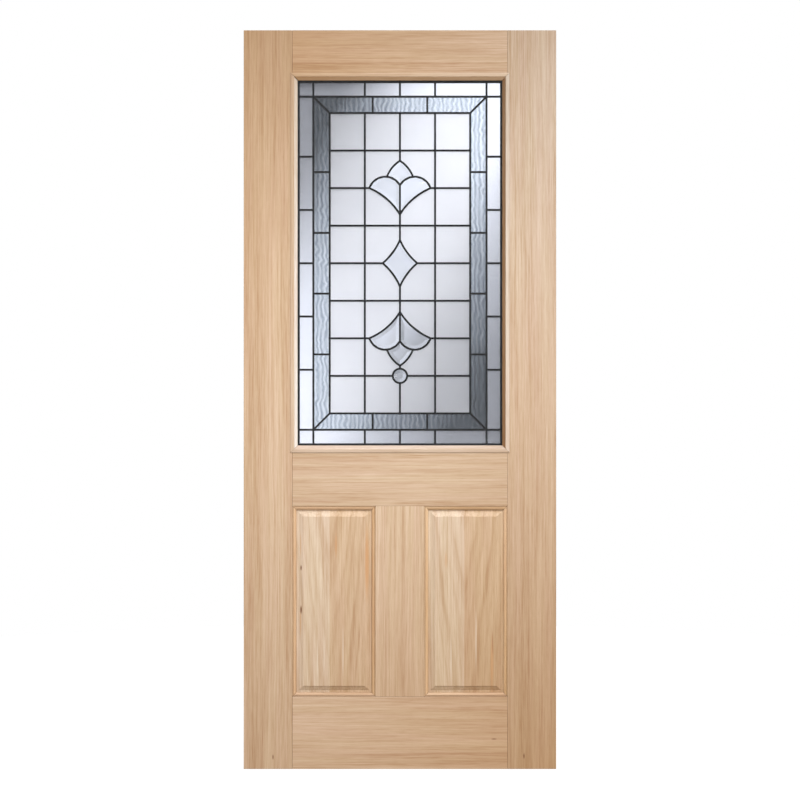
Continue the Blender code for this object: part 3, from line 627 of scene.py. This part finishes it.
# Clear glass, with the two shades between which it is uneven
FLOAT_GLASS = dict(
    shades=(srgb(250, 251, 253), srgb(253, 254, 255)), patches_per_metre=6.0, roughness=0.0
)
PLATE_GLASS = dict(
    shades=(srgb(230, 234, 244), srgb(240, 243, 250)), patches_per_metre=30.0, roughness=0.02
)

# Obscure glass, with the depth of its stipple
FIELD_GLASS = dict(tint=srgb(222, 223, 229), roughness=0.38, stipple=0.0004, transmission=0.885)
BORDER_GLASS = dict(tint=srgb(238, 241, 251), roughness=0.22, stipple=0.0002, transmission=0.92)
PEBBLES_PER_METRE = 520.0
PEBBLE_CRISPNESS = 0.6
CLOUDS_PER_METRE = 9.0
CLOUD_SHARE = 0.3

# Tinted glass between its streaks and on them
TINTED_SHADES = srgb(170, 181, 196), srgb(230, 237, 246)

# Lead, dull and rubbed, as shades in sRGB, the noise where each is full, and roughness
LEAD_SHADES = (6, 6, 8), (15, 16, 19)
LEAD_SPAN = (0.35, 0.72)
LEAD_ROUGHNESS = (0.62, 0.45)
LEAD_PATCHES_PER_METRE = 160.0
LEAD_RELIEF = 0.00015
SOLDER_BRIGHTNESS = 1.25

# Spacer bar
SPACER_SHADES = srgb(16, 16, 18), srgb(30, 30, 33)
SPACER_GRAIN_PER_METRE = 900.0


def is_bevelled(name):
    return "spray" in name or name in ("centre_star", "round_jewel")


def is_glass(name):
    return "glass" in name or name.endswith("_pane") or is_bevelled(name)


def clear_glass(name, shades, patches_per_metre, roughness):
    """Polished glass, very slightly uneven in colour."""
    shader = Shader(name)
    faint = shader.noise(shader.coordinates("Object"), scale=patches_per_metre)
    shader.set(
        Base_Color=shader.mix(faint, *shades),
        Roughness=roughness,
        IOR=1.52,
        Transmission_Weight=1.0,
    )
    return shader.material


def obscure_glass(name, tint, roughness, stipple, transmission):
    """Glass with a fine stippled face."""
    shader = Shader(name)
    place = shader.coordinates("Object")
    pebbles = shader.noise(place, scale=PEBBLES_PER_METRE, roughness=PEBBLE_CRISPNESS)
    cloud = shader.noise(place, scale=CLOUDS_PER_METRE)
    shader.set(
        Base_Color=shader.mix(cloud * CLOUD_SHARE, tint, WHITE),
        Roughness=roughness,
        IOR=1.5,
        Transmission_Weight=transmission,
    )
    shader.bump(pebbles, stipple)
    return shader.material


def tinted_glass():
    """Blue-grey glass with soft streaks that stand upright."""
    shader = Shader("tinted_rippled_glass")
    x, _, z = shader.split(shader.coordinates("Object"))
    sway = shader.noise(shader.vector(x * STREAK_WANDER_ACROSS, 0.0, z * STREAK_WANDER_UP), detail=1.0)
    bent = (sway - 0.5) * STREAK_WANDER + x
    wave = shader.math("SINE", bent * (2 * math.pi / STREAK_SPACING))
    uneven = shader.noise(shader.vector(x * STREAK_PATCH_ACROSS, 0.0, z * STREAK_PATCH_UP))
    streak = wave * shader.remap(uneven, *NARROW_NOISE, FAINT_STREAK, BOLD_STREAK) + 0.5
    shader.set(
        Base_Color=shader.ramp(streak, list(zip((0.0, 1.0), TINTED_SHADES))),
        Roughness=0.10,
        IOR=1.5,
        Transmission_Weight=0.985,
    )
    return shader.material


def lead(name, brightness):
    """Lead darkened by age, a little brighter where it is rubbed."""
    shader = Shader(name)
    rubbed = shader.noise(shader.coordinates("Object"), scale=LEAD_PATCHES_PER_METRE, detail=3.0)
    shades = [srgb(*(brightness * level for level in shade)) for shade in LEAD_SHADES]
    shader.set(
        Base_Color=shader.ramp(rubbed, list(zip(LEAD_SPAN, shades))),
        Roughness=shader.remap(rubbed, *BROAD_NOISE, *LEAD_ROUGHNESS),
        Metallic=0.2,
        Specular_IOR_Level=0.15,
    )
    shader.bump(rubbed, LEAD_RELIEF)
    return shader.material


def spacer_material():
    shader = Shader("spacer_bar")
    grain = shader.noise(shader.coordinates("Object"), scale=SPACER_GRAIN_PER_METRE)
    shader.set(Base_Color=shader.mix(grain, *SPACER_SHADES), Roughness=0.6)
    return shader.material


# Pieces made here


def add_piece(name, bm, material, slot, sharp_from, *replaced):
    """A smooth piece of the visual model, sharp only at edges over an angle in degrees."""
    mesh = bpy.data.meshes.new(name)
    bm.to_mesh(mesh)
    bm.free()
    mesh.materials.append(material)
    mesh.shade_smooth()
    mesh.set_sharp_from_angle(angle=math.radians(sharp_from))
    obj = bpy.data.objects.new(name, mesh)
    bpy.context.scene.collection.objects.link(obj)
    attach(obj, "root")
    if replaced:
        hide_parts(*replaced)
    return obj


def welded_copy(name):
    bm = bmesh.new()
    bm.from_mesh(nodes[name].data)
    bmesh.ops.remove_doubles(bm, verts=bm.verts, dist=WELD_REACH)
    return bm


def round_flanges(bm, level, face):
    """Rounds the flat face of the cames that lies at a level and looks to the front (-1) or back (1)."""
    region = [f for f in bm.faces if all(abs(v.co.y - level) < CAME_FACE_REACH for v in f.verts)]
    outer = {v for f in region for v in f.verts}
    for width, drop in CAME_SHOULDERS:
        bmesh.ops.inset_region(bm, faces=region, thickness=width, use_even_offset=True, use_boundary=True)
        inner = {v for f in region for v in f.verts}
        for v in outer:
            v.co.y = level - face * drop
        outer = inner


def make_cames(material):
    """The soldered net of cames, with rounded flanges."""
    bm = welded_copy("came_lattice")
    round_flanges(bm, CAME_FRONT_Y, -1)
    round_flanges(bm, CAME_BACK_Y, 1)
    add_piece("leaded_cames", bm, material, "came", LEAD_SHARP_FROM, "came_lattice")


def field_lines():
    """The lines of the field's cames, from the glass between them: upright ones across, level ones up."""
    rows = [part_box(f"field_glass_row_{row}") for row in range(1, FIELD_ROWS + 1)]
    left, right = rows[0][0].x - GLASS_SETTING, rows[0][1].x + GLASS_SETTING
    uprights = [left + (right - left) * i / FIELD_COLUMNS for i in range(FIELD_COLUMNS + 1)]
    levels = [high.z + GLASS_SETTING for _, high in rows] + [rows[-1][0].z - GLASS_SETTING]
    return uprights, levels


def make_solder(material):
    """A low blob of solder on both faces at each crossing of the field's cames that shows."""
    uprights, levels = field_lines()
    bm = bmesh.new()
    for i, x in enumerate(uprights):
        for j, z in enumerate(levels):
            if i == MIDDLE_COLUMN_LINE and j in ORNAMENT_LINES:
                continue
            add_blob(bm, x, CAME_FRONT_Y, z, -1)
            add_blob(bm, x, CAME_BACK_Y, z, 1)
    add_piece("solder_joints", bm, material, "came", LEAD_SHARP_FROM)


def add_blob(bm, x, y, z, face):
    """A closed low dome that sits on a came."""
    rings = []
    for reach, rise in SOLDER_PROFILE:
        ring = []
        for i in range(SOLDER_SIDES):
            angle = 2 * math.pi * i / SOLDER_SIDES
            place = Vector((x * SOLDER_WOBBLE_PER_METRE, z * SOLDER_WOBBLE_PER_METRE, angle))
            radius = SOLDER_RADIUS * reach * (1 + SOLDER_WOBBLE * noise.noise(place))
            corner = (
                x + radius * math.cos(angle), y + face * SOLDER_RISE * rise, z + radius * math.sin(angle)
            )
            ring.append(bm.verts.new(corner))
        rings.append(ring)
    for low, high in zip(rings, rings[1:]):
        for i in range(SOLDER_SIDES):
            j = (i + 1) % SOLDER_SIDES
            quad = (low[i], low[j], high[j], high[i])
            bm.faces.new(quad if face < 0 else tuple(reversed(quad)))
    top, bottom = rings[-1], list(reversed(rings[0]))
    if face > 0:
        top, bottom = list(reversed(rings[-1])), rings[0]
    bm.faces.new(top)
    bm.faces.new(bottom)


def ripple(x, z, seed):
    """Height of the tinted glass's ripples: upright waves that wander."""
    place = Vector((x * RIPPLE_WANDER_ACROSS, z * RIPPLE_WANDER_UP, seed))
    bent = x + RIPPLE_WANDER * noise.noise(place)
    return RIPPLE_RISE * noise.noise(Vector((bent / RIPPLE_ACROSS, z / RIPPLE_UP, seed + RIPPLE_SEED_SHIFT)))


def tinted_face(bm, side, y, rise):
    """One face of a tinted band as a grid of vertices from mitre to mitre. The rise at (x, z) is how far
    it lies behind y."""
    low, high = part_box(f"tinted_glass_{side}")
    if side in LEVEL_SIDES:
        first, last, inner, outer = low.x, high.x, low.z, high.z
    else:
        first, last, inner, outer = low.z, high.z, low.x, high.x
    if side in ("bottom", "left"):
        inner, outer = outer, inner
    band = abs(outer - inner)
    steps_along = max(2, round((last - first) / TINTED_CELL))
    steps_up = max(2, round(band / TINTED_CELL))
    grid = []
    for j in range(steps_up + 1):
        share = j / steps_up
        trim = band * (1 - share)
        line = []
        for i in range(steps_along + 1):
            a = first + trim + (last - first - 2 * trim) * i / steps_along
            b = inner + (outer - inner) * share
            x, z = (a, b) if side in LEVEL_SIDES else (b, a)
            line.append(bm.verts.new((x, y + rise(x, z), z)))
        grid.append(line)
    return grid


def close_slab(bm, front, back):
    """Faces over two equal grids of vertices and round their rim, pointing out."""
    rows, columns = len(front), len(front[0])
    for grid in (front, back):
        for j in range(rows - 1):
            for i in range(columns - 1):
                bm.faces.new((grid[j][i], grid[j][i + 1], grid[j + 1][i + 1], grid[j + 1][i]))
    rim = (
        [(0, i) for i in range(columns)]
        + [(j, columns - 1) for j in range(1, rows)]
        + [(rows - 1, i) for i in range(columns - 2, -1, -1)]
        + [(j, 0) for j in range(rows - 2, 0, -1)]
    )
    for (j, i), (n, m) in zip(rim, rim[1:] + rim[:1]):
        bm.faces.new((front[j][i], front[n][m], back[n][m], back[j][i]))
    bmesh.ops.recalc_face_normals(bm, faces=bm.faces)


def make_tinted(material):
    """The tinted bands as rippled glass, each side one strip from mitre to mitre."""
    for number, side in enumerate(SIDES):
        seed = number * RIPPLE_SEED_STEP
        low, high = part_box(f"tinted_glass_{side}")
        bm = bmesh.new()
        front = tinted_face(bm, side, low.y, lambda x, z: abs(ripple(x, z, seed)))
        back = tinted_face(bm, side, high.y, lambda x, z: 0.0)
        close_slab(bm, front, back)
        plain = f"tinted_glass_{side}"
        obj = add_piece(f"rippled_glass_{side}", bm, material, "tinted_glass", GLASS_SHARP_FROM, plain)
        obj.visible_shadow = False


def dress_glazing():
    give(clear_glass("clear_float_glass", **FLOAT_GLASS), "front_pane", "back_pane")
    field = obscure_glass("obscure_field_glass", **FIELD_GLASS)
    border = obscure_glass("obscure_border_glass", **BORDER_GLASS)
    give(field, *(f"field_glass_row_{row}" for row in range(1, FIELD_ROWS + 1)))
    give(border, *(f"border_glass_{side}" for side in SIDES))
    bevelled = clear_glass("bevelled_plate_glass", **PLATE_GLASS)
    give(bevelled, *filter(is_bevelled, nodes))
    make_tinted(tinted_glass())
    make_cames(lead("aged_lead", 1.0))
    make_solder(lead("solder", SOLDER_BRIGHTNESS))
    give(spacer_material(), "spacer_frame")
    for name in filter(is_glass, nodes):
        nodes[name].visible_shadow = False


# Studio


def add_lamp(name, kind, place, target, power):
    light = bpy.data.lights.new(name, kind)
    light.energy = power
    obj = bpy.data.objects.new(name, light)
    obj.location = place
    direction = Vector(target) - obj.location
    obj.rotation_euler = direction.to_track_quat("-Z", "Y").to_euler()
    bpy.context.scene.collection.objects.link(obj)
    return obj


def add_box(name, place, size, spread, power, target):
    """A rectangular studio light."""
    obj = add_lamp(name, "AREA", place, target, power)
    obj.data.shape = "RECTANGLE"
    obj.data.size, obj.data.size_y = size
    obj.data.spread = math.radians(spread)
    return obj


def add_sun(name, elevation, azimuth, spread, strength):
    """A broad distant light, as soft as a large studio box."""
    up, side = math.radians(elevation), math.radians(azimuth)
    level = SUN_DISTANCE * math.cos(up)
    place = (level * math.sin(side), -level * math.cos(side), SUN_DISTANCE * math.sin(up))
    obj = add_lamp(name, "SUN", place, (0.0, 0.0, 0.0), strength)
    obj.data.angle = math.radians(spread)
    return obj


def hide_in_glass(lamp):
    """Keeps a lamp from showing in the glass or through it."""
    lamp.visible_glossy = False
    lamp.visible_transmission = False


def add_plane(name, corners, material):
    mesh = bpy.data.meshes.new(name)
    mesh.from_pydata(corners, [], [tuple(range(len(corners)))])
    mesh.materials.append(material)
    obj = bpy.data.objects.new(name, mesh)
    bpy.context.scene.collection.objects.link(obj)
    return obj


def make_floor():
    shader = Shader("floor")
    shader.set(Base_Color=(*[FLOOR_SHADE] * 3, 1.0), Roughness=0.9, Specular_IOR_Level=0.0)
    shader.set(Emission_Color=WHITE, Emission_Strength=FLOOR_GLOW)
    corners = []
    for i in range(FLOOR_SIDES):
        angle = 2 * math.pi * i / FLOOR_SIDES
        x = LEAF_MIDDLE.x + FLOOR_RADIUS * math.cos(angle)
        corners.append((x, FLOOR_RADIUS * math.sin(angle), LEAF_LOW.z))
    floor = add_plane("floor", corners, shader.material)
    floor.visible_diffuse = False
    floor.visible_glossy = False
    floor.visible_transmission = False


def card_corners():
    """The lower left and upper right corners of what the camera sees on the card through the glass."""
    reach = 1 + CARD_BEHIND / CAMERA_DISTANCE
    middle_x, middle_z = photo_point(PHOTO_SIZE / 2, PHOTO_SIZE / 2)
    low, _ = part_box("border_glass_bottom")
    _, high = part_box("border_glass_top")
    return [(middle_x + reach * (c.x - middle_x), middle_z + reach * (c.z - middle_z)) for c in (low, high)]


def card_material(left, bottom, right, top):
    """A glow that is bright along one diagonal and darker to two corners."""
    shader = Shader("card")
    x, _, z = shader.split(shader.coordinates("Object"))
    rightward = shader.remap(x, left, right)
    upward = shader.remap(z, bottom, top)
    uneven = shader.noise(shader.vector(x, 0.0, z), scale=CARD_PATCHES_PER_METRE, detail=2.0)
    across = (upward - rightward) * 0.5 + 0.5 + (uneven - 0.5) * CARD_UNEVEN
    along = (upward + rightward) * 0.5
    across_glow = shader.ramp(
        across, [(at, (CARD_COOL_CAST * v, CARD_COOL_CAST * v, v, 1.0)) for at, v in CARD_ACROSS]
    )
    along_glow = shader.ramp(along, [(at, (v, v, v, 1.0)) for at, v in CARD_ALONG])
    shader.set(Base_Color=(0.0, 0.0, 0.0, 1.0), Specular_IOR_Level=0.0)
    shader.set(Emission_Color=shader.tinted(across_glow, along_glow), Emission_Strength=CARD_STRENGTH)
    return shader.material


def make_card():
    """A card behind the glass that glows with painted light, bright along one diagonal. Only the glass shows
    it.
    """
    (left, bottom), (right, top) = card_corners()
    corners = [
        (left - CARD_SPREAD, CARD_BEHIND, bottom - CARD_SPREAD),
        (right + CARD_SPREAD, CARD_BEHIND, bottom - CARD_SPREAD),
        (right + CARD_SPREAD, CARD_BEHIND, top + CARD_SPREAD),
        (left - CARD_SPREAD, CARD_BEHIND, top + CARD_SPREAD),
    ]
    card = add_plane("card", corners, card_material(left, bottom, right, top))
    card.visible_camera = False
    card.visible_diffuse = False
    card.visible_glossy = False
    card.visible_shadow = False


def make_world():
    """White to the camera; for the light on the door a soft sky, white above and warmer below."""
    world = bpy.data.worlds.new("studio")
    bpy.context.scene.world = world
    world.use_nodes = True
    world.node_tree.nodes.clear()
    sky = NodeTree(world.node_tree)
    _, _, height = sky.split(sky.coordinates("Generated"))
    path = sky.add("ShaderNodeLightPath")
    colour = sky.mix(sky.remap(height, SKY_BELOW_HEIGHT, SKY_ABOVE_HEIGHT), SKY_BELOW, SKY_ABOVE)
    for ray, level in (
        ("Is Glossy Ray", SKY_MIRRORED),
        ("Is Transmission Ray", SKY_THROUGH_GLASS),
        ("Is Camera Ray", SKY_SEEN),
    ):
        colour = sky.mix(sky.output(path, ray), colour, (level, level, level, 1.0))
    background = sky.add("ShaderNodeBackground")
    sky.feed(background.inputs["Color"], colour)
    sky.feed(sky.add("ShaderNodeOutputWorld").inputs["Surface"], sky.output(background))


def make_camera():
    camera = bpy.data.cameras.new("camera")
    camera.sensor_width = CAMERA_LENS * PHOTO_SIZE * METRES_PER_PX / CAMERA_DISTANCE
    camera.lens = CAMERA_LENS
    camera.clip_end = CAMERA_REACH
    obj = bpy.data.objects.new("camera", camera)
    x, z = photo_point(PHOTO_SIZE / 2, PHOTO_SIZE / 2)
    obj.location = (x, FACE_Y - CAMERA_DISTANCE, z)
    obj.rotation_euler = (math.pi / 2, 0.0, 0.0)
    bpy.context.scene.collection.objects.link(obj)
    bpy.context.scene.camera = obj


def make_studio():
    add_sun("key", KEY_ELEVATION, KEY_AZIMUTH, KEY_SPREAD, KEY_STRENGTH)
    hide_in_glass(add_sun("back", BACK_ELEVATION, BACK_AZIMUTH, BACK_SPREAD, BACK_STRENGTH))
    hide_in_glass(add_box("pool", POOL_PLACE, POOL_SIZE, POOL_SPREAD, POOL_POWER, POOL_TARGET))
    strip_target = (LEAF_MIDDLE.x, 0.0, STRIP_PLACE[2])
    add_box("strip", STRIP_PLACE, STRIP_SIZE, STRIP_SPREAD, STRIP_POWER, strip_target)
    make_floor()
    make_card()
    make_world()
    make_camera()
    bpy.context.scene.view_settings.view_transform = "Standard"


dress_oak()
soften_timber()
dress_glazing()
make_studio()
